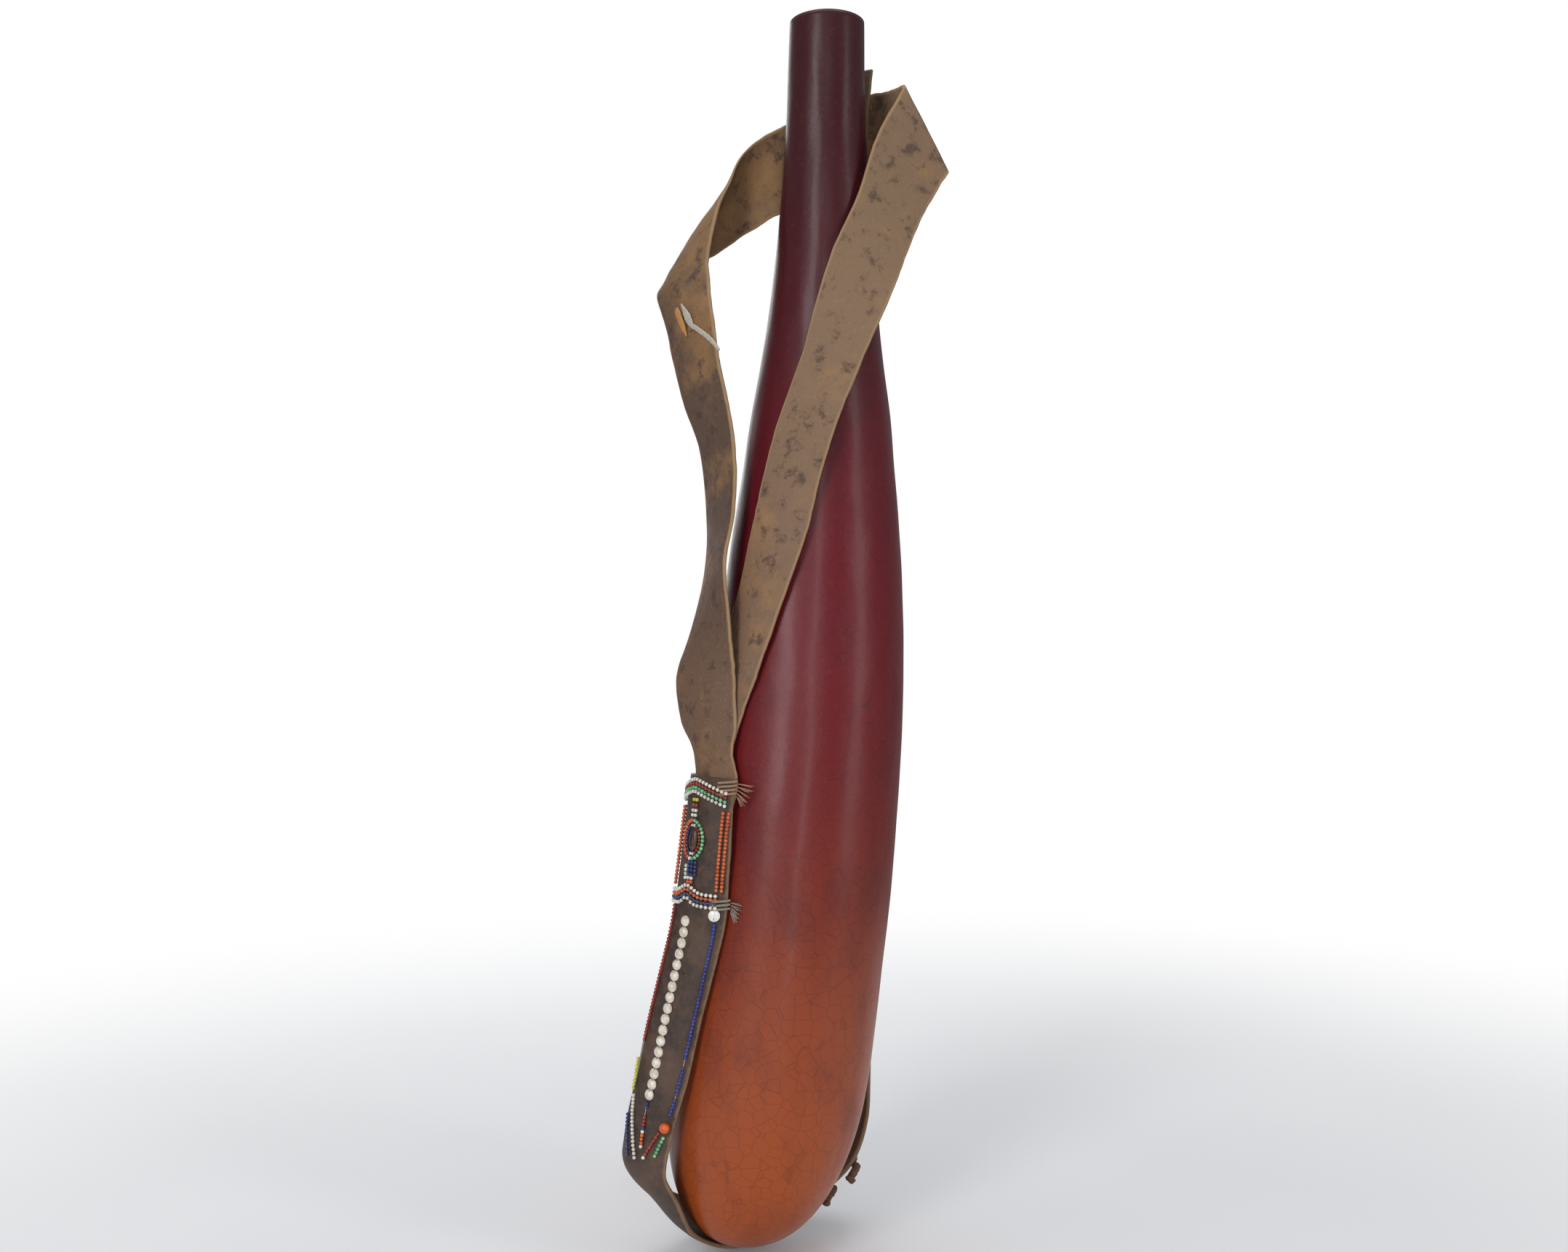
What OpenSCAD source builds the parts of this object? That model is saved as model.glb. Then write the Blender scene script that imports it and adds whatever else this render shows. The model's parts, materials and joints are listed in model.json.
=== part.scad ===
// Gourd water bottle: a long hollow gourd in a beaded leather sling.
// The mouth is at the origin, the gourd hangs down along -Z, and the front faces -Y.

/* [Gourd] */
// Height of the gourd from the cut rim to the lowest point
gourd_h = 710; // [600:1:820]
// Outside diameter at the rim
rim_d = 43.6; // [41:0.2:50]
// Outside diameter of the upper neck
neck_d = 47.6; // [44:0.2:52]
// Depth of the upper neck below the rim
neck_depth = 70; // [60:1:90]
// Outside diameter at the foot of the neck
foot_d = 64.6; // [58:0.2:72]
// Depth of the foot of the neck
foot_depth = 172; // [150:1:195]
// Outside diameter half way down the slope
slope_d = 85; // [78:0.5:92]
// Depth of that place on the slope
slope_depth = 245; // [225:1:265]
// Outside diameter at the shoulder
shoulder_d = 103.4; // [96:0.2:108]
// Depth of the shoulder
shoulder_depth = 330; // [305:1:355]
// Outside diameter at the waist of the belly
waist_d = 112.6; // [106:0.2:118]
// Depth of the waist of the belly
waist_depth = 415; // [390:1:450]
// Largest outside diameter, at the belly
belly_d = 116.4; // [112:0.2:124]
// Depth of the belly, where the rounded base starts
belly_depth = 600; // [540:1:640]
// Fullness of the rounded base, 2 is an ellipse
base_fullness = 2.35; // [2:0.05:3]
// Sideways lean of the shoulder
shoulder_lean = -8; // [-20:1:4]
// Sideways lean of the belly
belly_lean = -32; // [-45:1:-10]
// Sideways lean of the lowest point
base_lean = -47; // [-60:1:-15]
// Wall thickness of the dried shell
wall = 4; // [3:0.1:6]

/* [Mouth] */
// Diameter of the reamed mouth
mouth_d = 35.6; // [30:0.2:38]
// Depth of the reamed mouth
mouth_depth = 28; // [20:1:40]

/* [Straps] */
// Width of the beaded base strap
base_strap_w = 44; // [38:0.5:50]
// Thickness of the base strap leather
base_strap_t = 2.6; // [2:0.1:3.2]
// Width of the carrying strap
carry_w = 44; // [38:0.5:50]
// Thickness of the carrying strap leather
carry_t = 2.2; // [1.8:0.1:2.6]
// Clearance between leather and what it lies on
seat = 0.6; // [0.3:0.05:0.8]

/* [Beads] */
// Diameter of the seed beads
bead_d = 2.1; // [1.8:0.05:2.3]
// Length of the seed beads along their thread
bead_len = 1.8; // [1.4:0.05:1.9]
// Thickness of the bead thread
thread_d = 0.5; // [0.3:0.05:0.6]
// Diameter of the shell discs
shell_d = 6; // [5:0.1:6.2]
// Number of shell discs in the strand
shell_count = 17; // [12:1:17]

/* [Hidden] */
$fn = 48;

// Smooth curve through knots
// Slope at knot i of a list of [x, y] knots
function knot_slope(k, i) =
    let (a = max(i - 1, 0), b = min(i + 1, len(k) - 1))
    (k[b].y - k[a].y) / (k[b].x - k[a].x);

// Value at x inside the span that starts at knot i
function in_span(k, i, x) =
    let (
        h = k[i + 1].x - k[i].x,
        t = (x - k[i].x) / h,
        m0 = knot_slope(k, i) * h,
        m1 = knot_slope(k, i + 1) * h
    )
    (2 * t ^ 3 - 3 * t ^ 2 + 1) * k[i].y + (t ^ 3 - 2 * t ^ 2 + t) * m0
    + (3 * t ^ 2 - 2 * t ^ 3) * k[i + 1].y + (t ^ 3 - t ^ 2) * m1;

// Value at x of the smooth curve through all the knots
function through(k, x, i = 0) =
    i >= len(k) - 2 || x <= k[i + 1].x
        ? in_span(k, i, min(max(x, k[0].x), k[len(k) - 1].x))
        : through(k, x, i + 1);

// Gourd outline, as [depth, outside diameter]
girths = [
    [0, rim_d],
    [neck_depth, neck_d],
    [foot_depth, foot_d],
    [slope_depth, slope_d],
    [shoulder_depth, shoulder_d],
    [waist_depth, waist_d],
    [belly_depth, belly_d]
];
// Centreline, as [depth, sideways place]
centres = [
    [0, 0],
    [foot_depth, shoulder_lean / 4],
    [shoulder_depth, shoulder_lean],
    [(shoulder_depth + belly_depth) / 2 + 20, shoulder_lean + (belly_lean - shoulder_lean) * 0.42],
    [belly_depth, belly_lean],
    [gourd_h, base_lean]
];
base_h = gourd_h - belly_depth;

function side_r(depth) = through(girths, depth) / 2;
function base_r(a) = belly_d / 2 * max(0, 1 - sin(a) ^ base_fullness) ^ (1 / base_fullness);
function centre(depth) = through(centres, depth);

// Skin outline as [radius, depth], from the rim to the lowest point
side_steps = 24;
base_steps = 12;
function skin_outline(sides, bases) = [
    for (i = [0 : sides]) [side_r(belly_depth * i / sides), belly_depth * i / sides],
    for (j = [1 : bases])
        let (a = 90 * (1 - (1 - j / bases) ^ 1.25))
        [base_r(a), belly_depth + base_h * sin(a)]
];

// Distance along an outline to each of its points
function run_lengths(p) = [
    for (i = 0, s = 0; i < len(p); i = i + 1, s = s + (i < len(p) ? norm(p[i] - p[i - 1]) : 0)) s
];
fine_skin = skin_outline(120, 60);
skin_run = run_lengths(fine_skin);
skin_len = skin_run[len(skin_run) - 1];
skin_radii = [for (i = [0 : len(fine_skin) - 1]) [skin_run[i], fine_skin[i].x]];
skin_depths = [for (i = [0 : len(fine_skin) - 1]) [skin_run[i], fine_skin[i].y]];

function skin_at(s) = [lookup(s, skin_radii), lookup(s, skin_depths)];
function unit(v) = v / norm(v);

// Point over the skin. share is the way down the skin in percent: 0 at the rim,
// 100 at the lowest point, and on up the far side to 200. azimuth is 0 at the front
// and 90 at the left as seen in front. off is the distance out from the skin.
function over_skin(share, azimuth, off) =
    let (
        far = share > 100,
        s = (far ? 200 - share : share) / 100 * skin_len,
        az = far ? azimuth + 180 : azimuth,
        p = skin_at(s),
        t = unit(skin_at(min(s + 1, skin_len)) - skin_at(max(s - 1, 0))),
        r = p.x + off * t.y
    )
    [centre(p.y) - r * sin(az), -r * cos(az), -(p.y - off * t.x)];

// Straps
// A route station is [share, azimuth, off, turn, slope, width share, curl]. turn and slope
// set the line across the strap: turn 0 points right, and slope lifts that end. curl is
// the angle that the strap's section bends through.
function across(turn, slope) = [cos(turn) * cos(slope), -sin(turn) * cos(slope), sin(slope)];
function station(r, w) = [over_skin(r[0], r[1], r[2]), across(r[3], r[4]), r[5] * w, r[6]];

// Catmull-Rom blend of four values
function blend(a, b, c, d, t) =
    0.5 * (2 * b + (c - a) * t + (2 * a - 5 * b + 4 * c - d) * t ^ 2 + (3 * b - a - 3 * c + d) * t ^ 3);
function clamp(i, n) = min(max(i, 0), n - 1);

// Stations with steps smooth ones between each pair
function smooth_run(st, steps) = [
    for (i = [0 : len(st) - 2], j = [0 : (i == len(st) - 2 ? steps : steps - 1)])
        let (
            n = len(st),
            a = st[clamp(i - 1, n)],
            b = st[i],
            c = st[i + 1],
            d = st[clamp(i + 2, n)],
            t = j / steps
        )
        [
            blend(a[0], b[0], c[0], d[0], t),
            unit(blend(a[1], b[1], c[1], d[1], t)),
            b[2] * (1 - t) + c[2] * t,
            b[3] * (1 - t) + c[3] * t
        ]
];

// Each station with its outward normal: [place, across, normal, width, curl]
function framed(run) = [
    for (i = [0 : len(run) - 1])
        let (
            t = unit(run[clamp(i + 1, len(run))][0] - run[clamp(i - 1, len(run))][0]),
            n = unit(cross(run[i][1], t))
        )
        [run[i][0], run[i][1], n, run[i][2], run[i][3]]
];

// Point on a curled strap at share v (-1 left edge, 1 right edge), lifted from mid thickness
function on_strap(f, v, lift) =
    let (
        curl = max(f[4], 0.5),
        r = f[3] / (curl * PI / 180),
        a = v * curl / 2
    )
    f[0] + f[2] * ((r + lift) * cos(a) - r) + f[1] * (r + lift) * sin(a);

// Closed ring round the strap's section
section_steps = 6;
function strap_ring(f, t) = [
    for (i = [0 : section_steps]) on_strap(f, 2 * i / section_steps - 1, t / 2),
    for (i = [0 : section_steps]) on_strap(f, 1 - 2 * i / section_steps, -t / 2)
];

// Closed skin over a list of rings of equal length
module loft(rings) {
    n = len(rings[0]);
    m = len(rings);
    sides = [
        for (i = [0 : m - 2], j = [0 : n - 1])
            let (
                a = i * n + j,
                b = i * n + (j + 1) % n,
                c = a + n,
                d = b + n
            )
            each [[a, d, b], [a, c, d]]
    ];
    polyhedron(
        [for (r = rings) each r],
        concat(
            sides,
            [for (j = [1 : n - 2]) [0, j, j + 1]],
            [for (j = [1 : n - 2]) [(m - 1) * n, (m - 1) * n + j + 1, (m - 1) * n + j]]
        ),
        convexity = 10
    );
}

// Base strap, from behind the neck down the back, under the base and up the left front
base_route = [
    [197.4, 37, 8, 24, 0, 0.5, 0],
    [194, 32, 6, 20, 0, 0.52, 0],
    [189, 27, 4, 18, 0, 0.58, 10],
    [183, 28, 3, 22, 0, 0.65, 20],
    [177, 28, 2.5, 25, 0, 0.7, 25],
    [170, 30, 2.4, 28, 0, 0.75, 30],
    [163, 33, 2.4, 32, 0, 0.8, 32],
    [156, 37, 2.4, 36, 0, 0.85, 34],
    [149, 40, 2.4, 40, 0, 0.9, 36],
    [142, 42, 3, 43, 0, 0.95, 40],
    [135, 43, 5, 45, 0, 1, 50],
    [128, 43, 6, 46, 0, 1, 60],
    [121, 44, 10, 47, 0, 1, 75],
    [116, 46, 17, 48, 0, 1, 90],
    [112, 47, 23, 49, 0, 1, 90],
    [109, 46, 20, 50, -3, 1, 75],
    [106.5, 38, 9, 50, -10, 1, 60],
    [103.6, 20, 3.6, 50, -17, 1, 50],
    [97.4, 136, 3, 53, -19, 1, 50],
    [96, 98, 4.4, 60, -19, 1, 50],
    [93.6, 77, 8, 64, -15, 1, 55],
    [91, 69, 14.5, 57, -8, 1, 70],
    [88.5, 66, 24, 50, 0, 1, 85],
    [85.5, 65, 21, 46, 0, 1, 95],
    [82, 61, 18, 42, 0, 1, 97],
    [78, 59, 16.5, 40, 0, 1, 97],
    [74, 57, 14.6, 41, 0, 1.02, 98],
    [70, 55, 12.8, 43, 0, 1.06, 101],
    [66, 56, 12.8, 49, 0, 1.1, 104],
    [62, 56, 13.2, 53, 0, 1.1, 102],
    [59, 55, 13.2, 54, 0, 1.1, 102]
];
base_frames = framed(smooth_run([for (r = base_route) station(r, base_strap_w)], 3));
base_run = run_lengths([for (f = base_frames) f[0]]);
base_len = base_run[len(base_run) - 1];

// Frame of the base strap at a distance down from its front end
base_index = [for (i = [0 : len(base_run) - 1]) [base_run[i], i]];
function base_frame(down) =
    let (
        x = lookup(base_len - down, base_index),
        i = min(floor(x), len(base_frames) - 2),
        t = x - i,
        a = base_frames[i],
        b = base_frames[i + 1]
    )
    [
        a[0] * (1 - t) + b[0] * t,
        unit(a[1] * (1 - t) + b[1] * t),
        unit(a[2] * (1 - t) + b[2] * t),
        a[3] * (1 - t) + b[3] * t,
        a[4] * (1 - t) + b[4] * t
    ];

// A layer under the base strap at a distance down: moved in, with the same axis of curl
function under_base(down, depth, w, slip) =
    let (
        f = base_frame(down),
        outer_r = f[3] / (f[4] * PI / 180),
        r = outer_r - depth,
        a = slip / r * 180 / PI,
        axis = f[0] - f[2] * outer_r
    )
    [
        axis + r * (f[2] * cos(a) + f[1] * sin(a)),
        f[1] * cos(a) - f[2] * sin(a),
        w,
        w / r * 180 / PI
    ];

// Length of the beaded panel
panel_len = 72;
layer_1 = base_strap_t / 2 + seat + carry_t / 2;
layer_2 = layer_1 + seat + carry_t;

// Left branch of the carrying strap, from under the panel up and round behind the neck
branch_route = [
    [57.4, 58, 10.5, 52, 0, 0.92, 88],
    [55.2, 59, 12.5, 44, 0, 1.06, 55],
    [51.8, 60, 15.5, 42, -2, 1.1, 45],
    [48.6, 61, 14, 55, -3, 1, 30],
    [43.4, 66, 13, 73, 1, 1, 20],
    [38.9, 70, 13, 67, -4, 1, 15],
    [34.5, 75, 18, 60, -8, 1, 10],
    [31.1, 79, 28, 52, -7, 1, 10],
    [27.8, 83, 38, 49, -8, 1, 12],
    [24.9, 86, 46, 48, -9, 1.05, 25],
    [21.6, 91, 55, 47, -2, 1.14, 45],
    [19.1, 97, 57, 59, 7, 1.2, 65],
    [16.6, 104, 53, 68, 24, 1.2, 70],
    [14.4, 113, 44, 74, 46, 1.12, 55],
    [12.2, 123, 30, 89, 73, 1.14, 20],
    [10.4, 140, 17, 60, 83, 1.2, 5],
    [8.7, 180, 12, 92, 82, 1.15, 5],
    [7.6, 219, 18, 116, 85, 1.1, 5],
    [7.8, 244, 25, 188, 73, 1.2, 0],
    [8, 262, 36, 197, 64, 1.36, 0]
];
// Front run, from the sharp fold at the right down across the gourd
front_route = [
    [8.5, 269, 35, 197, 64, 1.36, 0],
    [12.5, 287, 20, 176, 53, 1.12, 0],
    [17, 308, 12, 176, 50, 1, 0],
    [21.2, 331, 8.5, 185, 29, 0.93, 0],
    [27.1, 353, 7.5, 198, 9, 0.82, 10],
    [32.5, 10, 7, 200, -1, 0.82, 15],
    [36.6, 19, 4.6, 205, 2, 0.8, 20],
    [40, 24, 3.7, 208, 1, 0.82, 25],
    [43.9, 31, 3.3, 217, 1, 0.8, 30],
    [48.6, 41, 3.6, 225, -2, 0.82, 35],
    [51.6, 47, 4, 229, -4, 0.8, 50],
    [54.6, 53, 5, 231, -5, 0.72, 60]
];
branch_end = [for (d = [panel_len - 3, 50, 26, 4]) under_base(d, layer_1, carry_w * (0.89 - 0.003 * d), 3.5 - 0.07 * d)];
front_end = [for (d = [4, 26, 50, panel_len - 3])
    let (s = under_base(d, layer_2, carry_w * 0.55, -1.5))
    [s[0], -s[1], s[2], s[3]]];
carry_frames = framed(concat(
    smooth_run(concat(branch_end, [for (r = branch_route) station(r, carry_w)]), 3),
    smooth_run(concat([for (r = front_route) station(r, carry_w)], front_end), 3)
));

// Hollow outline of the shell, as [radius, depth], from the outer lowest point up over
// the rim and down inside
function inner_r(depth) = side_r(depth) - wall;
shell_outline = skin_outline(side_steps, base_steps);
inner_outline = concat(
    [
        [mouth_d / 2 - 1.2, 0],
        [mouth_d / 2 - 1.2, mouth_depth - 3]
    ],
    [for (i = [0 : 14])
        let (d = mouth_depth + 5 + (belly_depth - mouth_depth - 5) * i / 14)
        [inner_r(d), d]],
    [for (j = [1 : 8])
        let (a = 90 * (1 - (1 - j / 8) ^ 1.25))
        [base_r(a) * (belly_d - 2 * wall) / belly_d, belly_depth + (base_h - wall) * sin(a)]]
);
sides = 40;
function hoop(p) = [
    for (i = [0 : sides - 1])
        let (r = max(p.x, 0.4))
        [centre(p.y) + r * cos(360 * i / sides), r * sin(360 * i / sides), -p.y]
];

// Dried gourd shell with a reamed mouth
module gourd_shell() {
    color("#5a1c20")
        difference() {
            loft(concat(
                [for (i = [len(shell_outline) - 1 : -1 : 0]) hoop(shell_outline[i])],
                [for (p = inner_outline) hoop(p)]
            ));
            translate([0, 0, -mouth_depth - 2])
                cylinder(d = mouth_d, h = mouth_depth + 3);
        }
}

// Beads
// Place on the face of the base strap, by distance down, distance across and lift
bead_lift = bead_d / 2 + 0.15;
function spot(down, side, lift) =
    let (f = base_frame(down))
    on_strap(f, 2 * side / f[3], base_strap_t / 2 + lift);

// Local frame on the face: x runs down the strap and z stands out from the leather
module on_face(down, side, lift) {
    f = base_frame(down);
    a = side / f[3] * f[4];
    p = spot(down, side, lift);
    z = unit(f[2] * cos(a) + f[1] * sin(a));
    y = unit(cross(z, spot(down + 1, side, lift) - spot(down - 1, side, lift)));
    x = cross(y, z);
    multmatrix([
        [x.x, y.x, z.x, p.x],
        [x.y, y.y, z.y, p.y],
        [x.z, y.z, z.z, p.z],
        [0, 0, 0, 1]
    ])
        children();
}

// Flat or round cord through places, as [place, width, thickness], with its flat facing up
module cord(p, up, sides = 6) {
    n = len(p);
    loft([
        for (i = [0 : n - 1])
            let (
                t = unit(p[min(i + 1, n - 1)][0] - p[max(i - 1, 0)][0]),
                x = unit(cross(t, up)),
                y = cross(x, t)
            )
            [for (j = [0 : sides - 1])
                let (a = -360 * (j + 0.5) / sides)
                p[i][0] + x * cos(a) * p[i][1] / 2 + y * sin(a) * p[i][2] / 2]
    ]);
}

// Threaded run of places, each with the direction of the thread through it
function threaded(p, ring) = [
    for (i = [0 : len(p) - 1])
        let (
            n = len(p),
            a = ring ? p[(i + n - 1) % n] : p[max(i - 1, 0)],
            b = ring ? p[(i + 1) % n] : p[min(i + 1, n - 1)]
        )
        [p[i], unit(b - a)]
];

// Drilled bead of a rounded barrel form
bead_bore = thread_d + 0.4;
module bead(d, l, bore) {
    rotate_extrude($fn = 16)
        intersection() {
            translate([bore / 2, -l / 2])
                square([d, l]);
            circle(d = d, $fn = 24);
        }
}

// Beads on those places of a threaded run that are listed
module beads(run, picks, d, l, tint) {
    color(tint)
        for (i = picks)
            translate(run[i][0])
                rotate([0, acos(run[i][1].z), atan2(run[i][1].y, run[i][1].x)])
                    bead(d, l, bead_bore);
}

// Rows of the two cross bands. Each row steps along its curve by one pitch.
band_reach = 20;
band_pitch = bead_d * 1.17;
function top_curve(x) = 1.9 + 0.36 * (sqrt(x ^ 2 + 9) - 3);
function bottom_curve(x) = 65.2 - 4.2 * exp(-(x / 6) ^ 2);
function curve_at(low, x) = low ? bottom_curve(x) : top_curve(x);
function curve_slope(low, x) = (curve_at(low, x + 0.1) - curve_at(low, x - 0.1)) / 0.2;
function next_x(low, x) = x + band_pitch / sqrt(1 + curve_slope(low, x) ^ 2);
function band_half(low) = [for (x = band_pitch / 2; x < band_reach; x = next_x(low, x)) x];
function band_row(low, k) =
    let (half = band_half(low), n = len(half))
    threaded([
        for (i = [-n : n - 1])
            let (
                x = i < 0 ? -half[-i - 1] : half[i],
                down = curve_at(low, x) + k * bead_d * 1.06 * sqrt(1 + curve_slope(low, x) ^ 2)
            )
            spot(down, x - 0.4, bead_lift)
    ], false);
band_count = 2 * len(band_half(false));
low_count = 2 * len(band_half(true));

// Two columns of beads along each side of the panel
column_beads = 21;
column_top = 19.2;
column_pitch = 2.14;
function column(side, inner) = threaded([
    for (i = [0 : column_beads - 1])
        let (x = inner ? 19.2 - 0.085 * i : 22.1 - 0.095 * i)
        spot(column_top + column_pitch * i, side * x, bead_lift)
], false);

// Short columns down the middle of the panel, as [distance across, list of distances down]
middle_lines = [
    [0.3, [13.2, 16.2, 19.2, 21.8, 48, 50.2, 52.4, 54.6, 56.8, 58.9]],
    [2.6, [13.2, 16.2, 19.2, 21.8, 48, 50.2, 52.4, 54.6, 56.8, 58.9]],
    [4.9, [48, 50.2, 52.4, 54.6]],
    [-2, [50.4, 52.6, 54.8, 57]]
];
function middle(i) = threaded([for (d = middle_lines[i][1]) spot(d, middle_lines[i][0], bead_lift)], false);

// Oval rings round the seed
seed_down = 35.4;
seed_side = 1.5;
seed_w = 7;
seed_h = 13.2;
ring_bead_d = bead_d * 0.81;
function oval(count, w, h, lift) = threaded([
    for (i = [0 : count - 1])
        let (
            u = 360 * (i + 0.5) / count,
            a = u + (w / h - 1) * -14 * sin(2 * u)
        )
        spot(seed_down - h / 2 * cos(a), seed_side + w / 2 * sin(a), lift)
], true);
outer_ring = oval(26, 14.4, 21.4, bead_lift);
inner_ring = oval(22, 10, 16, ring_bead_d / 2 + 0.15);

// Long strands below the panel
shell_pitch = 6.25;
shell_top = 81;
function shell_side(d) = 0.2 + (d - 80) * 0.025;
shell_hole = 1;
shell_run = [
    for (i = [0 : shell_count - 1])
        let (d = shell_top + shell_pitch * i)
        [spot(d, shell_side(d), 0.15 + shell_hole)]
];
strand_pitch = 2.1;
function strand(from, count, side_a, side_b) = threaded([
    for (i = [0 : count - 1])
        let (t = i / (count - 1), down = from + strand_pitch * i)
        spot(down, side_a * (1 - t) + side_b * t, bead_lift)
], false);
blue_run = strand(81.2, 53, 17.5, 17.8);
red_edge_run = strand(74, 52, -11.5, -11.6);
yellow_edge_run = strand(164, 9, -15.8, -12.2);
white_foot_run = strand(184.6, 17, -9.4, 3);
navy_foot_run = strand(197, 11, -11, -3.4);
centre_foot_run = strand(186, 13, 3.4, 6.2);
red_foot_run = strand(202.2, 8, 14.4, 8.8);
green_foot_run = strand(204.4, 6, 17.4, 15);

module base_strap() {
    color("#4a3428") loft([for (f = base_frames) strap_ring(f, base_strap_t)]);
}

module carry_strap() {
    color("#8a6a48") loft([for (f = carry_frames) strap_ring(f, carry_t)]);
}

// Place on the carrying strap by frame number, share across and lift
function carry_spot(i, v, lift) =
    let (a = floor(i), t = i - a)
    on_strap(carry_frames[a], v, carry_t / 2 + lift) * (1 - t)
    + on_strap(carry_frames[a + 1], v, carry_t / 2 + lift) * t;

// Pale hide lace that comes out of a slit and runs off the right edge
module strap_lace() {
    up = carry_frames[39][2];
    color("#b8b4a6")
        cord([
            [carry_spot(40.6, 0.12, 1), 1.2, 1],
            [carry_spot(40.2, 0.17, 1), 3.4, 1.2],
            [carry_spot(39.7, 0.23, 1), 5, 1.2],
            [carry_spot(39.4, 0.27, 1), 4.6, 1.2],
            [carry_spot(39.1, 0.32, 1), 3, 1.2],
            [carry_spot(38.9, 0.45, 1), 3, 1.2],
            [carry_spot(38.6, 0.64, 1), 3, 1.2],
            [carry_spot(38.2, 0.82, 1), 3, 1.2],
            [carry_spot(37.7, 0.98, 1), 2.8, 1.2],
            [carry_spot(37.1, 1.1, 0.6), 2, 1.1]
        ], up);
}

// Tan tongue cut out of the leather beside the slit
module slit_tongue() {
    up = carry_frames[39][2];
    color("#a5713d")
        cord([
            [carry_spot(40.3, -0.12, 0.8), 4.4, 1],
            [carry_spot(39.6, -0.08, 0.8), 4.6, 1],
            [carry_spot(38.9, -0.04, 0.8), 4, 1],
            [carry_spot(38.2, 0.01, 0.8), 1, 0.8]
        ], up);
}

// Whip stitches over the right edge of the base strap, with a frayed end
module stitches(top, count, tuft) {
    up = base_frame(top)[2];
    for (i = [0 : count - 1])
        let (d = top + 2.2 * i)
        cord([
            [spot(d + 1.6, 15, 0.9), 0.8, 0.8],
            [spot(d + 1.2, 18, 1), 1.3, 1.1],
            [spot(d + 0.6, 21.5, 1), 1.3, 1.1],
            [spot(d, 24.6, 0.7), 1, 0.9]
        ], up);
    for (i = [0 : 4])
        let (d = top + 1.4 + 2.2 * count * i / 5, r = base_frame(d)[1] * 0.7 + [0.7, -0.2, 0])
        cord([
            [spot(d, 25.4, 0.7), 0.9, 0.9],
            [spot(d, 25.4, 0.7) + r * tuft * 0.5 - [0, 0, 0.6 + i * 0.5], 0.8, 0.8],
            [spot(d, 25.4, 0.7) + r * tuft * (1 - 0.12 * i) - [0, 0, 1.6 + i], 0.5, 0.5]
        ], up);
}

module top_stitching() {
    color("#9c8064") stitches(1, 4, 6.5);
}

module bottom_stitching() {
    color("#a8a08c") stitches(67, 3, 4.5);
}

// Knotted leather ends on the edge of the base strap, low at the back
module edge_knots() {
    up = [0.3, 0.2, 1];
    function rim(i, v, lift) = on_strap(base_frames[i], v, base_strap_t / 2 + lift);
    color("#5a4130") {
        cord([
            [rim(44, 0.55, 1.4), 2.4, 1.6],
            [rim(45, 0.75, 2), 3.6, 2.6],
            [rim(45, 0.95, 2.6), 4.4, 3.4],
            [rim(46, 1.08, 3.6), 4.2, 4],
            [rim(46, 1.12, 6), 3.2, 3.2]
        ], up, 8);
        cord([
            [rim(47, 0.6, 1.4), 2.4, 1.6],
            [rim(47, 0.85, 2.2), 4, 3],
            [rim(48, 1.02, 3), 4.6, 4],
            [rim(48, 1.16, 4), 3, 3]
        ], up, 8);
    }
}

// Thread through every run of beads
module thread(p) {
    cord([for (q = p) [q[0], thread_d, thread_d]], base_frame(100)[2]);
}

module bead_thread() {
    color("#c9c0ae") {
        for (k = [0 : 3]) {
            thread(band_row(false, k));
            thread(band_row(true, k));
        }
        for (side = [-1, 1], inner = [true, false]) thread(column(side, inner));
        thread(shell_run);
        thread(blue_run);
        thread(red_edge_run);
        thread(yellow_edge_run);
        thread(white_foot_run);
        thread(navy_foot_run);
        thread(centre_foot_run);
        thread(red_foot_run);
        thread(green_foot_run);
    }
}

module top_band_white() {
    for (k = [0, 3]) beads(band_row(false, k), [0 : band_count - 1], bead_d, bead_len, "#d9d8c8");
}

module top_band_red() {
    beads(band_row(false, 1), [0 : band_count - 1], bead_d, bead_len, "#8c2a2a");
}

module top_band_green() {
    beads(band_row(false, 2), [0 : band_count - 1], bead_d, bead_len, "#2f9a57");
}

module bottom_band_white() {
    for (k = [0, 3]) beads(band_row(true, k), [0 : low_count - 1], bead_d, bead_len, "#d9d8c8");
}

module bottom_band_orange() {
    beads(band_row(true, 1), [0 : low_count - 1], bead_d, bead_len, "#c8621f");
}

module bottom_band_navy() {
    beads(band_row(true, 2), [0 : low_count - 1], bead_d, bead_len, "#22304f");
}

module orange_columns() {
    for (side = [-1, 1], inner = [true, false])
        beads(column(side, inner), [0 : column_beads - 1], bead_d, bead_len, "#c8621f");
}

module centre_yellow() {
    for (i = [0, 1]) beads(middle(i), [0], bead_d, bead_len, "#c9b62a");
}

module centre_red() {
    for (i = [0, 1]) beads(middle(i), [1], bead_d, bead_len, "#8c2a2a");
}

module centre_white() {
    for (i = [0, 1]) beads(middle(i), [2, 3, 8], bead_d, bead_len, "#d9d8c8");
    beads(middle(3), [0 : 3], bead_d, bead_len, "#d9d8c8");
}

module centre_navy() {
    for (i = [0, 1]) beads(middle(i), [4 : 7], bead_d, bead_len, "#22304f");
    beads(middle(2), [0 : 3], bead_d, bead_len, "#22304f");
}

module centre_orange() {
    for (i = [0, 1]) beads(middle(i), [9], bead_d, bead_len, "#c8621f");
}

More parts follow.
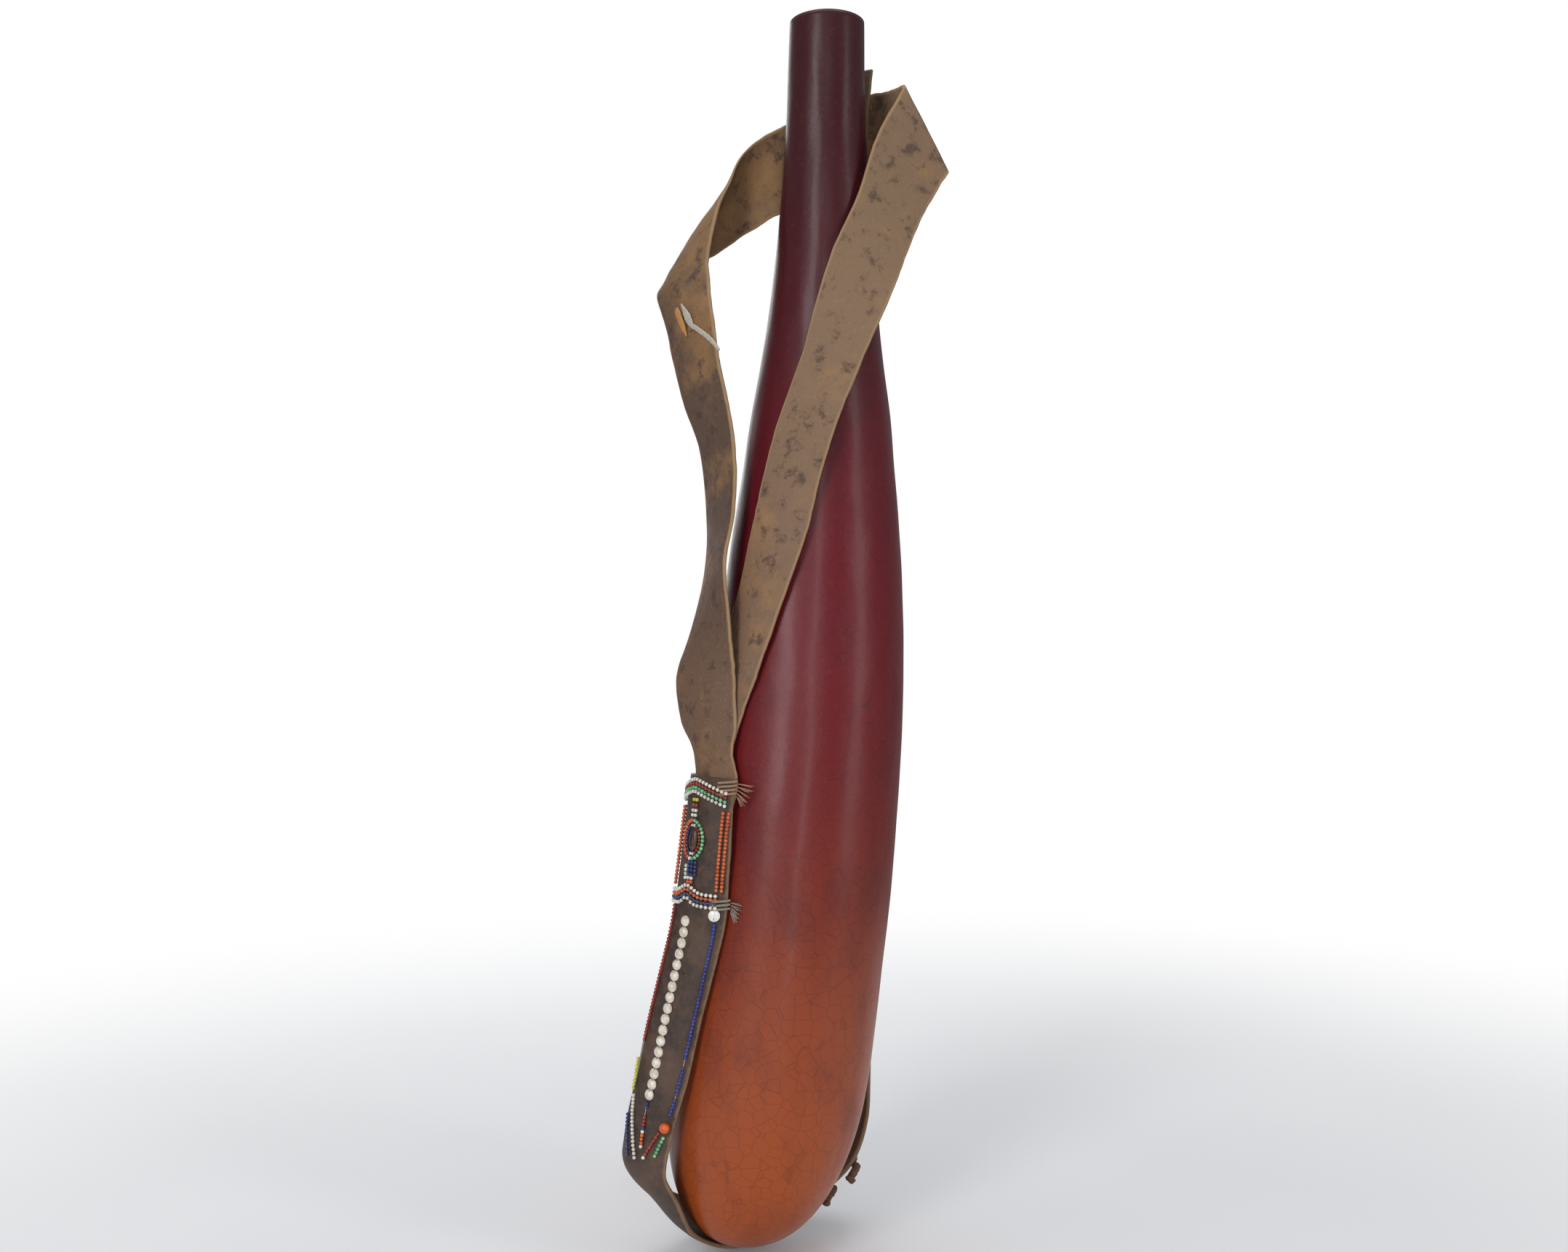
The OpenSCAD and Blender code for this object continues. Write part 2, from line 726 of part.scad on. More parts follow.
// Polished oval seed with a slit along it
module medallion_seed() {
    color("#4f3523")
        on_face(seed_down, seed_side, 0.2)
            difference() {
                scale([1, seed_w / seed_h, 0.32])
                    sphere(d = seed_h);
                translate([-seed_h, -seed_h, -seed_h * 2])
                    cube(seed_h * 2);
                translate([-seed_h * 0.27, -0.35, 1.5])
                    cube([seed_h * 0.54, 0.7, 2]);
            }
}

// Shell discs, each drilled across
module shell_strand() {
    color("#e4ded0")
        for (i = [0 : shell_count - 1])
            let (d = shell_top + shell_pitch * i)
            on_face(d, shell_side(d), 0.15)
                difference() {
                    rotate_extrude()
                        intersection() {
                            translate([0, -0.9])
                                circle(d = shell_d * 1.12);
                            square([shell_d / 2, 2.3]);
                        }
                    translate([0, 0, shell_hole])
                        rotate([0, 90, 0])
                            cylinder(d = bead_bore, h = shell_d * 2, center = true, $fn = 16);
                }
}

// Flat button with a small slit near its edge
button_d = 6.5;
module white_button() {
    color("#ece8dc")
        on_face(76, 17, 0.15)
            difference() {
                rotate_extrude()
                    intersection() {
                        translate([0, -6])
                            circle(r = 7.8);
                        square([button_d / 2, 2]);
                    }
                translate([1.2, -0.2, -1])
                    cube([1.2, 0.4, 4]);
            }
}

// Round bead at the foot of the blue strand
amber_d = 6;
module amber_bead() {
    color("#b8801f")
        on_face(198, 17.2, amber_d / 2 + 0.15)
            rotate([0, 90, 0])
                rotate_extrude()
                    intersection() {
                        circle(d = amber_d);
                        translate([bead_bore / 2, -amber_d * 0.42])
                            square([amber_d, amber_d * 0.84]);
                    }
}

module inner_ring_red() {
    beads(inner_ring, [1 : 9], ring_bead_d, bead_len * 0.85, "#8c2a2a");
}

module inner_ring_navy() {
    beads(inner_ring, [12 : 20], ring_bead_d, bead_len * 0.85, "#22304f");
}

module inner_ring_white() {
    beads(inner_ring, [0, 10, 11, 21], ring_bead_d, bead_len * 0.85, "#d9d8c8");
}

module outer_ring_green() {
    beads(outer_ring, [0 : 12], bead_d, bead_len, "#2f9a57");
}

module outer_ring_orange() {
    beads(outer_ring, [14 : 25], bead_d, bead_len, "#c8621f");
}

module outer_ring_white() {
    beads(outer_ring, [13], bead_d, bead_len, "#d9d8c8");
}

module blue_strand() {
    picks = [for (i = [0 : 52]) if (i != 37 && i != 38 && i != 47) i];
    beads(blue_run, picks, bead_d, bead_len, "#1f5f7d");
}

module red_edge_strand() {
    beads(red_edge_run, [0 : 37], bead_d, bead_len, "#8c2a2a");
}

module yellow_edge_strand() {
    beads(yellow_edge_run, [0 : 8], bead_d, bead_len, "#c9b62a");
}

module foot_red() {
    beads(red_foot_run, [0 : 6], bead_d, bead_len, "#8c2a2a");
    beads(centre_foot_run, [4, 5, 6], bead_d, bead_len, "#8c2a2a");
}

module foot_green() {
    beads(green_foot_run, [0 : 5], bead_d, bead_len, "#2f9a57");
}

module foot_white() {
    beads(white_foot_run, [0 : 16], bead_d, bead_len, "#d9d8c8");
    beads(red_foot_run, [7], bead_d, bead_len, "#d9d8c8");
    beads(centre_foot_run, [8, 12], bead_d, bead_len, "#d9d8c8");
}

module foot_navy() {
    beads(navy_foot_run, [0 : 10], bead_d, bead_len, "#22304f");
    beads(centre_foot_run, [0, 1, 7], bead_d, bead_len, "#22304f");
}

module foot_orange() {
    beads(centre_foot_run, [9, 10, 11], bead_d, bead_len, "#c8621f");
}

gourd_shell();
base_strap();
carry_strap();
strap_lace();
slit_tongue();
top_stitching();
bottom_stitching();
edge_knots();
top_band_white();
top_band_red();
top_band_green();
orange_columns();
centre_yellow();
centre_red();
centre_white();
medallion_seed();
inner_ring_red();
inner_ring_navy();
inner_ring_white();
outer_ring_green();
outer_ring_orange();
outer_ring_white();
centre_navy();
centre_orange();
bottom_band_white();
bottom_band_orange();
bottom_band_navy();
white_button();
shell_strand();
blue_strand();
amber_bead();
red_edge_strand();
yellow_edge_strand();
foot_red();
foot_green();
foot_white();
foot_navy();
foot_orange();
bead_thread();
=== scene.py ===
import bmesh
import bpy
import json
import math
import numpy as np
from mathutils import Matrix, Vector, noise


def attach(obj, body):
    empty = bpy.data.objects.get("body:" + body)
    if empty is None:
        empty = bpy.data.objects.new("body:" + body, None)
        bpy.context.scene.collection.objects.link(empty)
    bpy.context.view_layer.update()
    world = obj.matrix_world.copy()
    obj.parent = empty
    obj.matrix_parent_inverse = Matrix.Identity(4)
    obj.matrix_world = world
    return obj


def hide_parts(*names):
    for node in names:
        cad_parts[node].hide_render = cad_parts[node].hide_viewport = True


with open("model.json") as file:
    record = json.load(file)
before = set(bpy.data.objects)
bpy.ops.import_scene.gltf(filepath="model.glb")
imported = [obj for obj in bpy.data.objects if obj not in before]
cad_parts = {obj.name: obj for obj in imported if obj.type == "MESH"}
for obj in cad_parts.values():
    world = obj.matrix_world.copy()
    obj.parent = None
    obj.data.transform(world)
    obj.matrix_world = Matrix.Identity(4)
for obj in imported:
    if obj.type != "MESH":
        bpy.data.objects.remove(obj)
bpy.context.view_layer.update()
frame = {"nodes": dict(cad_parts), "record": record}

scene = bpy.context.scene
scene.view_settings.view_transform = "Standard"

# Camera, level with the middle of the gourd, as far off as the photograph was taken from.
camera_data = bpy.data.cameras.new("main_camera")
camera_data.sensor_width = 36.0
camera_data.lens = 33.395
camera_data.clip_start, camera_data.clip_end = 0.05, 50.0
camera = bpy.data.objects.new("main_camera", camera_data)
camera.location = (-0.0251, -0.850, -0.3515)
camera.rotation_euler = (math.radians(90), 0, 0)
scene.collection.objects.link(camera)
scene.camera = camera


# Studio light: a tall soft box at the left and a narrow one by the camera give the gourd its long
# highlight, and weak boxes at the right, above and behind fill the rest.
def rgb(text):
    parts = [int(text[i:i + 2], 16) / 255 for i in (1, 3, 5)]
    return tuple(c / 12.92 if c <= 0.04045 else ((c + 0.055) / 1.055) ** 2.4 for c in parts) + (1.0,)


for name, place, aim, size, power in (
        ("key_left", (-0.9, -1.5, 0.1), (-0.03, 0, -0.35), (0.5, 1.5), 15),
        ("fill_right", (1.5, -0.9, -0.1), (0, 0, -0.4), (0.4, 1.6), 7),
        ("front_strip", (0.08, -1.7, -0.2), (-0.01, 0, -0.35), (0.12, 1.5), 5),
        ("top_soft", (0, 0.2, 1.2), (0, 0, -0.3), (1.2, 1.2), 10),
        ("back_soft", (-0.4, 1.6, 0.1), (0, 0, -0.35), (1.2, 1.4), 12)):
    lamp_data = bpy.data.lights.new(name, "AREA")
    lamp_data.shape = "RECTANGLE"
    lamp_data.size, lamp_data.size_y = size
    lamp_data.energy = power
    lamp_data.color = rgb("#ffffff")[:3]
    lamp = bpy.data.objects.new(name, lamp_data)
    lamp.location = place
    lamp.rotation_euler = (Vector(aim) - Vector(place)).to_track_quat("-Z", "Y").to_euler()
    scene.collection.objects.link(lamp)


# One node with its settings and links. A colour is sRGB hex, and stops are those of a colour ramp.
def node(tree, kind, out=0, inputs=None, stops=None, **settings):
    made = tree.nodes.new("ShaderNode" + kind)
    for key, value in settings.items():
        setattr(made, key, value)
    for key, value in (inputs or {}).items():
        if isinstance(value, bpy.types.NodeSocket):
            tree.links.new(value, made.inputs[key])
        else:
            made.inputs[key].default_value = rgb(value) if isinstance(value, str) else value
    while stops and len(made.color_ramp.elements) < len(stops):
        made.color_ramp.elements.new(0.5)
    for i, (place, colour) in enumerate(stops or []):
        made.color_ramp.elements[i].position = place
        made.color_ramp.elements[i].color = rgb(colour)
    return made.outputs[out] if len(made.outputs) else None


# World: a dim sky for the light on the object, and white where the camera or clear glass sees it.
world = bpy.data.worlds.new("studio")
scene.world = world
world.use_nodes = True
sky = world.node_tree
sky.nodes.clear()
sky_seen = node(sky, "Math", operation="MAXIMUM", inputs={
    0: node(sky, "LightPath", "Is Camera Ray"), 1: node(sky, "LightPath", "Is Transmission Ray")})
sky_dim = node(sky, "Background", inputs={"Color": "#f2f4f8", "Strength": 0.26})
sky_white = node(sky, "Background", inputs={"Color": "#ffffff", "Strength": 1.0})
sky_both = node(sky, "MixShader", inputs={0: sky_seen, 1: sky_dim, 2: sky_white})
node(sky, "OutputWorld", inputs={"Surface": sky_both})

# Gourd: a dried bottle gourd with a plain cut mouth, hollow, its skin stained dark red and rubbed
# to a polish with fat. The colour wears back to the ochre rind at the base. Depths, girths and
# centres are in millimetres below the mouth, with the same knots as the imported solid.
MM = 0.001
GIRTHS = [(0, 43.6), (70, 47.6), (172, 64.6), (245, 85), (330, 103.4), (415, 112.6), (600, 116.4)]
CENTRES = [(0, 0), (172, -2), (330, -8), (485, -8 - 24 * 0.42), (600, -32), (710, -47)]
HEIGHT, BELLY, FULLNESS, WALL, MOUTH_R = 710.0, 600.0, 2.35, 4.0, 17.8
AROUND = 192


def through(knots, x):
    k = np.array(knots, float)
    x = np.clip(np.asarray(x, float), k[0, 0], k[-1, 0])
    lo = np.maximum(np.arange(len(k)) - 1, 0)
    hi = np.minimum(np.arange(len(k)) + 1, len(k) - 1)
    slope = (k[hi, 1] - k[lo, 1]) / (k[hi, 0] - k[lo, 0])
    i = np.clip(np.searchsorted(k[:, 0], x, side="right") - 1, 0, len(k) - 2)
    h = k[i + 1, 0] - k[i, 0]
    t = (x - k[i, 0]) / h
    return ((2 * t**3 - 3 * t**2 + 1) * k[i, 1] + (t**3 - 2 * t**2 + t) * h * slope[i]
            + (3 * t**2 - 2 * t**3) * k[i + 1, 1] + (t**3 - t**2) * h * slope[i + 1])


# Share of the belly's radius that is left at an angle down the rounded base.
def base_round(a):
    return np.maximum(0, 1 - np.sin(a) ** FULLNESS) ** (1 / FULLNESS)


def skin(sides, bases):
    d = np.linspace(0, BELLY, sides + 1)
    a = np.radians(90 * (1 - (1 - np.arange(1, bases + 1) / bases) ** 1.25))
    down_base = np.stack([GIRTHS[-1][1] / 2 * base_round(a), BELLY + (HEIGHT - BELLY) * np.sin(a)], 1)
    return np.concatenate([np.stack([through(GIRTHS, d) / 2, d], 1), down_base])


# A closed grid of points, in millimetres, becomes a mesh whose last column joins the first.
def grid_mesh(name, points, attributes, flip=False):
    rows, cols = points.shape[:2]
    idx = np.arange(rows * cols).reshape(rows, cols)
    nxt = np.roll(idx, -1, axis=1)
    quads = np.stack([idx[:-1], nxt[:-1], nxt[1:], idx[1:]], -1).reshape(-1, 4)
    if flip:
        quads = quads[:, ::-1]
    mesh = bpy.data.meshes.new(name)
    mesh.from_pydata((points.reshape(-1, 3) * MM).tolist(), [], quads.tolist())
    for key, values in attributes.items():
        layer = mesh.attributes.new(key, "FLOAT", "POINT")
        layer.data.foreach_set("value", np.asarray(values, float).reshape(-1))
    mesh.shade_smooth()
    made = bpy.data.objects.new(name, mesh)
    scene.collection.objects.link(made)
    return made


outer = skin(230, 60)
rim = [(21.6, -0.02), (21.2, -0.06), (20.4, -0.1), (19.2, -0.1), (18.4, -0.06), (18.0, 0.0), (MOUTH_R, 0.6)]
bore = [(MOUTH_R, d) for d in (2, 6, 12, 20, 30)]
inner_d = np.linspace(34, BELLY, 40)
inner_a = np.radians(90 * np.arange(1, 17) / 16)
inner = np.stack([through(GIRTHS, inner_d) / 2 - WALL, inner_d], 1)
inner_base = np.stack([(GIRTHS[-1][1] / 2 - WALL) * base_round(inner_a),
                       BELLY + (HEIGHT - BELLY - WALL) * np.sin(inner_a)], 1)
profile = np.concatenate([outer[::-1], rim, bore, inner, inner_base])
theta = np.linspace(0, 2 * np.pi, AROUND, endpoint=False)
gourd_points = np.zeros((len(profile), AROUND, 3))
for i, (r, d) in enumerate(profile):
    depth = max(d, 0)
    growth = np.zeros(AROUND)
    if i < len(outer) and r > 1:
        fade = min(1, depth / 40) * min(1, r / 30)
        for j, a in enumerate(theta):
            p = Vector((math.cos(a) * 1.3, math.sin(a) * 1.3, depth * 0.012))
            growth[j] = fade * (0.55 * noise.noise(p) + 0.22 * noise.noise(p * 3.1))
    girth_r = max(r, 0.05) + growth
    gourd_points[i] = np.stack([through(CENTRES, depth) + girth_r * np.cos(theta), girth_r * np.sin(theta),
                                np.full(AROUND, -d)], 1)
within = np.zeros((len(profile), AROUND))
within[len(outer) + 2:] = 1
gourd = grid_mesh("gourd", gourd_points, {"inside": within})


# A material with its node tree, its shader's inputs and its object coordinates.
def material(name, **constants):
    made = bpy.data.materials.new(name)
    made.use_nodes = True
    tree = made.node_tree
    tree.nodes.clear()
    shader = tree.nodes.new("ShaderNodeBsdfPrincipled")
    node(tree, "OutputMaterial", inputs={"Surface": shader.outputs[0]})
    for key, value in constants.items():
        shader.inputs[key.replace("_", " ")].default_value = value
    return made, tree, shader.inputs, node(tree, "TexCoord", "Object")


# Colour b over colour a where the mask lies between lo and hi, at most by the given strength.
def over(tree, a, b, mask, lo, hi, strength=1.0):
    fac = node(tree, "MapRange", interpolation_type="SMOOTHSTEP",
               inputs={"Value": mask, "From Min": lo, "From Max": hi, "To Max": strength})
    return node(tree, "Mix", 2, data_type="RGBA", inputs={0: fac, 6: a, 7: b})


# Stained and fat-polished rind: satin, with dark clouds, fine scratches down its length and pale
# freckles. Scales are patches to the metre: clouds of 111 mm, mottle of 29, freckles of 4.
skin_polish, tree, shader, where = material("gourd_skin_polished", Coat_Weight=0.12, Coat_Roughness=0.2,
                                            Specular_IOR_Level=0.32)
tall_cloud = node(tree, "Mapping", inputs={"Vector": where, "Scale": (1, 1, 0.4)})
tall_mottle = node(tree, "Mapping", inputs={"Vector": where, "Scale": (1, 1, 0.5)})
tall_scratch = node(tree, "Mapping", inputs={"Vector": where, "Scale": (1, 1, 0.12)})
cloud = node(tree, "TexNoise", inputs={"Vector": tall_cloud, "Scale": 9, "Detail": 3, "Roughness": 0.5})
mottle = node(tree, "TexNoise", inputs={"Vector": tall_mottle, "Scale": 34, "Detail": 5, "Roughness": 0.6})
freckle = node(tree, "TexNoise", inputs={"Vector": where, "Scale": 230, "Detail": 4, "Roughness": 0.7})
scratch = node(tree, "TexNoise", inputs={"Vector": tall_scratch, "Scale": 60, "Detail": 6,
                                         "Roughness": 0.75, "Distortion": 0.6})
height = node(tree, "SeparateXYZ", 2, {0: where})
drift = node(tree, "Math", operation="MULTIPLY_ADD", inputs={0: cloud, 1: 0.16, 2: height})
drift = node(tree, "MapRange", interpolation_type="SMOOTHSTEP",
             inputs={"Value": drift, "From Min": -0.64, "From Max": 0.08})
colour = node(tree, "ValToRGB", inputs={"Fac": drift}, stops=[
    (0.0, "#a04a1c"), (0.10, "#91401f"), (0.2, "#7c2c1c"), (0.33, "#701c1e"),
    (0.5, "#6c141f"), (0.7, "#62101d"), (0.85, "#4f0f1a"), (1.0, "#3d0f16")])
colour = over(tree, colour, "#43141c", mottle, 0.45, 0.75, 0.4)
colour = over(tree, colour, "#7f3a38", freckle, 0.55, 0.8, 0.35)
colour = over(tree, colour, "#a9785f", scratch, 0.66, 0.74, 0.3)
cracks = node(tree, "TexVoronoi", "Distance", {"Vector": where, "Scale": 120}, feature="DISTANCE_TO_EDGE")
colour = over(tree, colour, "#2a0d10", cracks, 0.05, 0.0, 0.25)
dry = node(tree, "TexNoise", inputs={"Vector": where, "Scale": 80, "Detail": 4, "Roughness": 0.55})
flesh = node(tree, "ValToRGB", inputs={"Fac": dry}, stops=[(0.3, "#6b4a2c"), (0.7, "#8d6a42")])
inside = node(tree, "Attribute", "Fac", attribute_name="inside")
colour = node(tree, "Mix", 2, data_type="RGBA", inputs={0: inside, 6: colour, 7: flesh})
tree.links.new(colour, shader["Base Color"])
tree.links.new(node(tree, "MapRange", inputs={"Value": mottle, "From Min": 0.3, "From Max": 0.75,
                                              "To Min": 0.34, "To Max": 0.5}), shader["Roughness"])
waves = node(tree, "Bump", inputs={"Strength": 0.35, "Distance": 1.2 * MM, "Height": mottle})
tree.links.new(node(tree, "Bump", inputs={"Strength": 0.5, "Distance": 0.25 * MM, "Height": freckle,
                                          "Normal": waves}), shader["Normal"])
gourd.data.materials.append(skin_polish)
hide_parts("gourd_shell")
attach(gourd, "root")

# Base strap: one long strip of dark oiled leather that cradles the gourd, from behind the neck down
# the back, under the base and up the front to its beaded end. A route row is the share of the way
# down the skin (past 100, up the far side), azimuth, distance off the skin, turn and slope of the
# strip, its share of the full width, and its curl in degrees.
STRAP_W, BASE_T = 44.0, 2.6
STEPS = 12
BASE_ROUTE = [
    (197.4, 37, 8, 24, 0, 0.5, 0), (194, 32, 6, 20, 0, 0.52, 0), (189, 27, 4, 18, 0, 0.58, 10),
    (183, 28, 3, 22, 0, 0.65, 20), (177, 28, 2.5, 25, 0, 0.7, 25), (170, 30, 2.4, 28, 0, 0.75, 30),
    (163, 33, 2.4, 32, 0, 0.8, 32), (156, 37, 2.4, 36, 0, 0.85, 34), (149, 40, 2.4, 40, 0, 0.9, 36),
    (142, 42, 3, 43, 0, 0.95, 40), (135, 43, 5, 45, 0, 1, 50), (128, 43, 6, 46, 0, 1, 60),
    (121, 44, 10, 47, 0, 1, 75), (116, 46, 17, 48, 0, 1, 90), (112, 47, 23, 49, 0, 1, 90),
    (109, 46, 20, 50, -3, 1, 75), (106.5, 38, 9, 50, -10, 1, 60), (103.6, 20, 3.6, 50, -17, 1, 50),
    (97.4, 136, 3, 53, -19, 1, 50), (96, 98, 4.4, 60, -19, 1, 50), (93.6, 77, 8, 64, -15, 1, 55),
    (91, 69, 14.5, 57, -8, 1, 70), (88.5, 66, 24, 50, 0, 1, 85), (85.5, 65, 21, 46, 0, 1, 95),
    (82, 61, 18, 42, 0, 1, 97), (78, 59, 16.5, 40, 0, 1, 97), (74, 57, 14.6, 41, 0, 1.02, 98),
    (70, 55, 12.8, 43, 0, 1.06, 101), (66, 56, 12.8, 49, 0, 1.1, 104), (62, 56, 13.2, 53, 0, 1.1, 102),
    (59, 55, 13.2, 54, 0, 1.1, 102),
]
fine = skin(120, 60)
skin_run = np.concatenate([[0], np.cumsum(np.linalg.norm(np.diff(fine, axis=0), axis=1))])
SKIN_LEN = skin_run[-1]


def unit(v):
    return v / np.linalg.norm(v)


def skin_at(s):
    return np.array([np.interp(s, skin_run, fine[:, 0]), np.interp(s, skin_run, fine[:, 1])])


def over_skin(share, azimuth, off):
    far = share > 100
    s = (200 - share if far else share) / 100 * SKIN_LEN
    az = math.radians(azimuth + (180 if far else 0))
    q = skin_at(s)
    t = unit(skin_at(min(s + 1, SKIN_LEN)) - skin_at(max(s - 1, 0)))
    r = q[0] + off * t[1]
    x = float(through(CENTRES, q[1])) - r * math.sin(az)
    return np.array([x, -r * math.cos(az), -(q[1] - off * t[0])])


def station(share, azimuth, off, turn, slope, width, curl):
    a, b = math.radians(turn), math.radians(slope)
    across = np.array([math.cos(a) * math.cos(b), -math.sin(a) * math.cos(b), math.sin(b)])
    return [over_skin(share, azimuth, off), across, width * STRAP_W, curl]


# Smooth curve through four neighbours, from b to c.
def blend(a, b, c, d, t):
    return 0.5 * (2 * b + (c - a) * t + (2 * a - 5 * b + 4 * c - d) * t**2 + (3 * b - a - 3 * c + d) * t**3)


def smooth_run(st):
    out, n = [], len(st)
    for i in range(n - 1):
        near = [st[min(max(i + k, 0), n - 1)] for k in (-1, 0, 1, 2)]
        for j in range(STEPS + (i == n - 2)):
            t = j / STEPS
            place, across = (blend(*(q[part] for q in near), t) for part in (0, 1))
            width, curl = (near[1][part] * (1 - t) + near[2][part] * t for part in (2, 3))
            out.append([place, unit(across), width, curl])
    return out


# Frames along a strip: place, across, normal, width and curl.
def framed(run):
    out = []
    for i, (place, across, width, curl) in enumerate(run):
        t = unit(run[min(i + 1, len(run) - 1)][0] - run[max(i - 1, 0)][0])
        out.append([place, across, unit(np.cross(across, t)), width, curl])
    return out


# Place on a strip: v runs from -1 to 1 across it, lift is off its middle surface.
def on_strap(f, v, lift):
    curl = max(f[4], 0.5)
    r = f[3] / math.radians(curl)
    a = math.radians(v * curl / 2)
    return f[0] + f[2] * ((r + lift) * math.cos(a) - r) + f[1] * (r + lift) * math.sin(a)


# Cut leather strip: closed, with worn wavy edges and shallow creases.
def strap(name, frames, thick, seed, ripple, crease):
    flat = np.linspace(-1, 1, 29)
    bends = [math.pi * k / 5 for k in range(1, 5)]
    rows, edge, along, under = [], [], [], []
    for i, f in enumerate(frames):
        s = i * 0.11
        left, right = (1 + ripple * (noise.noise(Vector((s, y, seed)))
                                     + 0.5 * noise.noise(Vector((s * 3.7, y_fine, seed)))) - ripple * 0.7
                       for y, y_fine in ((3.1, 1.7), (8.3, 6.1)))
        half = thick / 2 * (0.9 + 0.12 * noise.noise(Vector((s * 2, 0.5, seed))))
        section = [(v * 0.985, half, abs(v) ** 6, 0) for v in flat]
        section += [(0.985 + 0.03 * math.sin(a), half * math.cos(a), 1, 0) for a in bends]
        section += [(-v * 0.985, -half, abs(v) ** 6, 1) for v in flat]
        section += [(-0.985 - 0.03 * math.sin(a), -half * math.cos(a), 1, 0) for a in bends]
        row = []
        for v, lift, on_edge, below in section:
            dent = crease * noise.noise(Vector((s * 1.6, v * 1.4, seed + 5)))
            dent *= min(1, 2.2 * (1 - abs(v)) + 0.25)
            row.append(on_strap(f, v * (right if v > 0 else left), lift + dent))
        rows.append(row)
        edge.append([q[2] for q in section])
        under.append([q[3] for q in section])
        along.append([i / (len(frames) - 1)] * len(section))
    rows = np.array(rows)
    ends = [np.tile(rows[k].mean(0), (1, rows.shape[1], 1)) for k in (0, -1)]
    edge, along, under = (np.array([q[0], *q, q[-1]]) for q in (edge, along, under))
    return grid_mesh(name, np.concatenate([ends[0], rows, ends[1]]),
                     {"edge": edge, "along": along, "flesh": under}, flip=True)


base_frames = framed(smooth_run([station(*row) for row in BASE_ROUTE]))
base_strap = strap("base_strap_leather", base_frames, BASE_T, 2.0, 0.02, 0.35)

# Vegetable leather darkened with oil: dull, the hair side grainy, the cut edges and the flesh side
# paler. Patches to the metre: a grain of 1 mm, rubbing of 7 and clouds of 36.
oiled, tree, shader, where = material("dark_oiled_leather")
grain = node(tree, "TexNoise", inputs={"Vector": where, "Scale": 900, "Detail": 5, "Roughness": 0.7})
rubbed = node(tree, "TexNoise", inputs={"Vector": where, "Scale": 150, "Detail": 6, "Roughness": 0.65})
patchy = node(tree, "TexNoise", inputs={"Vector": where, "Scale": 28, "Detail": 4, "Roughness": 0.6})
colour = node(tree, "ValToRGB", inputs={"Fac": rubbed},
              stops=[(0.3, "#2b1f1a"), (0.5, "#43322a"), (0.7, "#5c4638")])
colour = over(tree, colour, "#6a5240", patchy, 0.45, 0.7, 0.5)
colour = over(tree, colour, "#7b6149", grain, 0.52, 0.75, 0.35)
edge = node(tree, "Attribute", "Fac", attribute_name="edge")
worn_edge = node(tree, "Math", operation="MULTIPLY_ADD", inputs={0: rubbed, 1: 0.6, 2: edge})
colour = over(tree, colour, "#80654c", worn_edge, 0.9, 1.35)
flesh_side = node(tree, "Attribute", "Fac", attribute_name="flesh")
half_flesh = node(tree, "Math", operation="MULTIPLY", inputs={0: flesh_side, 1: 0.5})
colour = node(tree, "Mix", 2, data_type="RGBA", inputs={0: half_flesh, 6: colour, 7: "#8a6d50"})
tree.links.new(colour, shader["Base Color"])
tree.links.new(node(tree, "MapRange", inputs={"Value": rubbed, "From Min": 0.3, "From Max": 0.7,
                                              "To Min": 0.5, "To Max": 0.78}), shader["Roughness"])
dents = node(tree, "Bump", inputs={"Strength": 0.55, "Distance": 1.2 * MM, "Height": rubbed})
tree.links.new(node(tree, "Bump", inputs={"Strength": 0.6, "Distance": 0.4 * MM, "Height": grain,
                                          "Normal": dents}), shader["Normal"])
base_strap.data.materials.append(oiled)
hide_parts("base_strap")
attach(base_strap, "root")

# Carrying strap: a wide strip of soft tan hide, its two ends sewn one over the other under the
# beaded panel. It goes up at the left, round behind the neck, folds over and comes down in front.
CARRY_T, SEAT, PANEL = 2.2, 0.6, 72.0
BRANCH_ROUTE = [
    (57.4, 58, 10.5, 52, 0, 0.92, 88), (55.2, 59, 12.5, 44, 0, 1.06, 55), (51.8, 60, 15.5, 42, -2, 1.1, 45),
    (48.6, 61, 14, 55, -3, 1, 30), (43.4, 66, 13, 73, 1, 1, 20), (38.9, 70, 13, 67, -4, 1, 15),
    (34.5, 75, 18, 60, -8, 1, 10), (31.1, 79, 28, 52, -7, 1, 10), (27.8, 83, 38, 49, -8, 1, 12),
    (24.9, 86, 46, 48, -9, 1.05, 25), (21.6, 91, 55, 47, -2, 1.14, 45), (19.1, 97, 57, 59, 7, 1.2, 65),
    (16.6, 104, 53, 68, 24, 1.2, 70), (14.4, 113, 44, 74, 46, 1.12, 55), (12.2, 123, 30, 89, 73, 1.14, 20),
    (10.4, 140, 17, 60, 83, 1.2, 5), (8.7, 180, 12, 92, 82, 1.15, 5), (7.6, 219, 18, 116, 85, 1.1, 5),
    (7.8, 244, 25, 188, 73, 1.2, 0), (8, 262, 36, 197, 64, 1.36, 0),
]
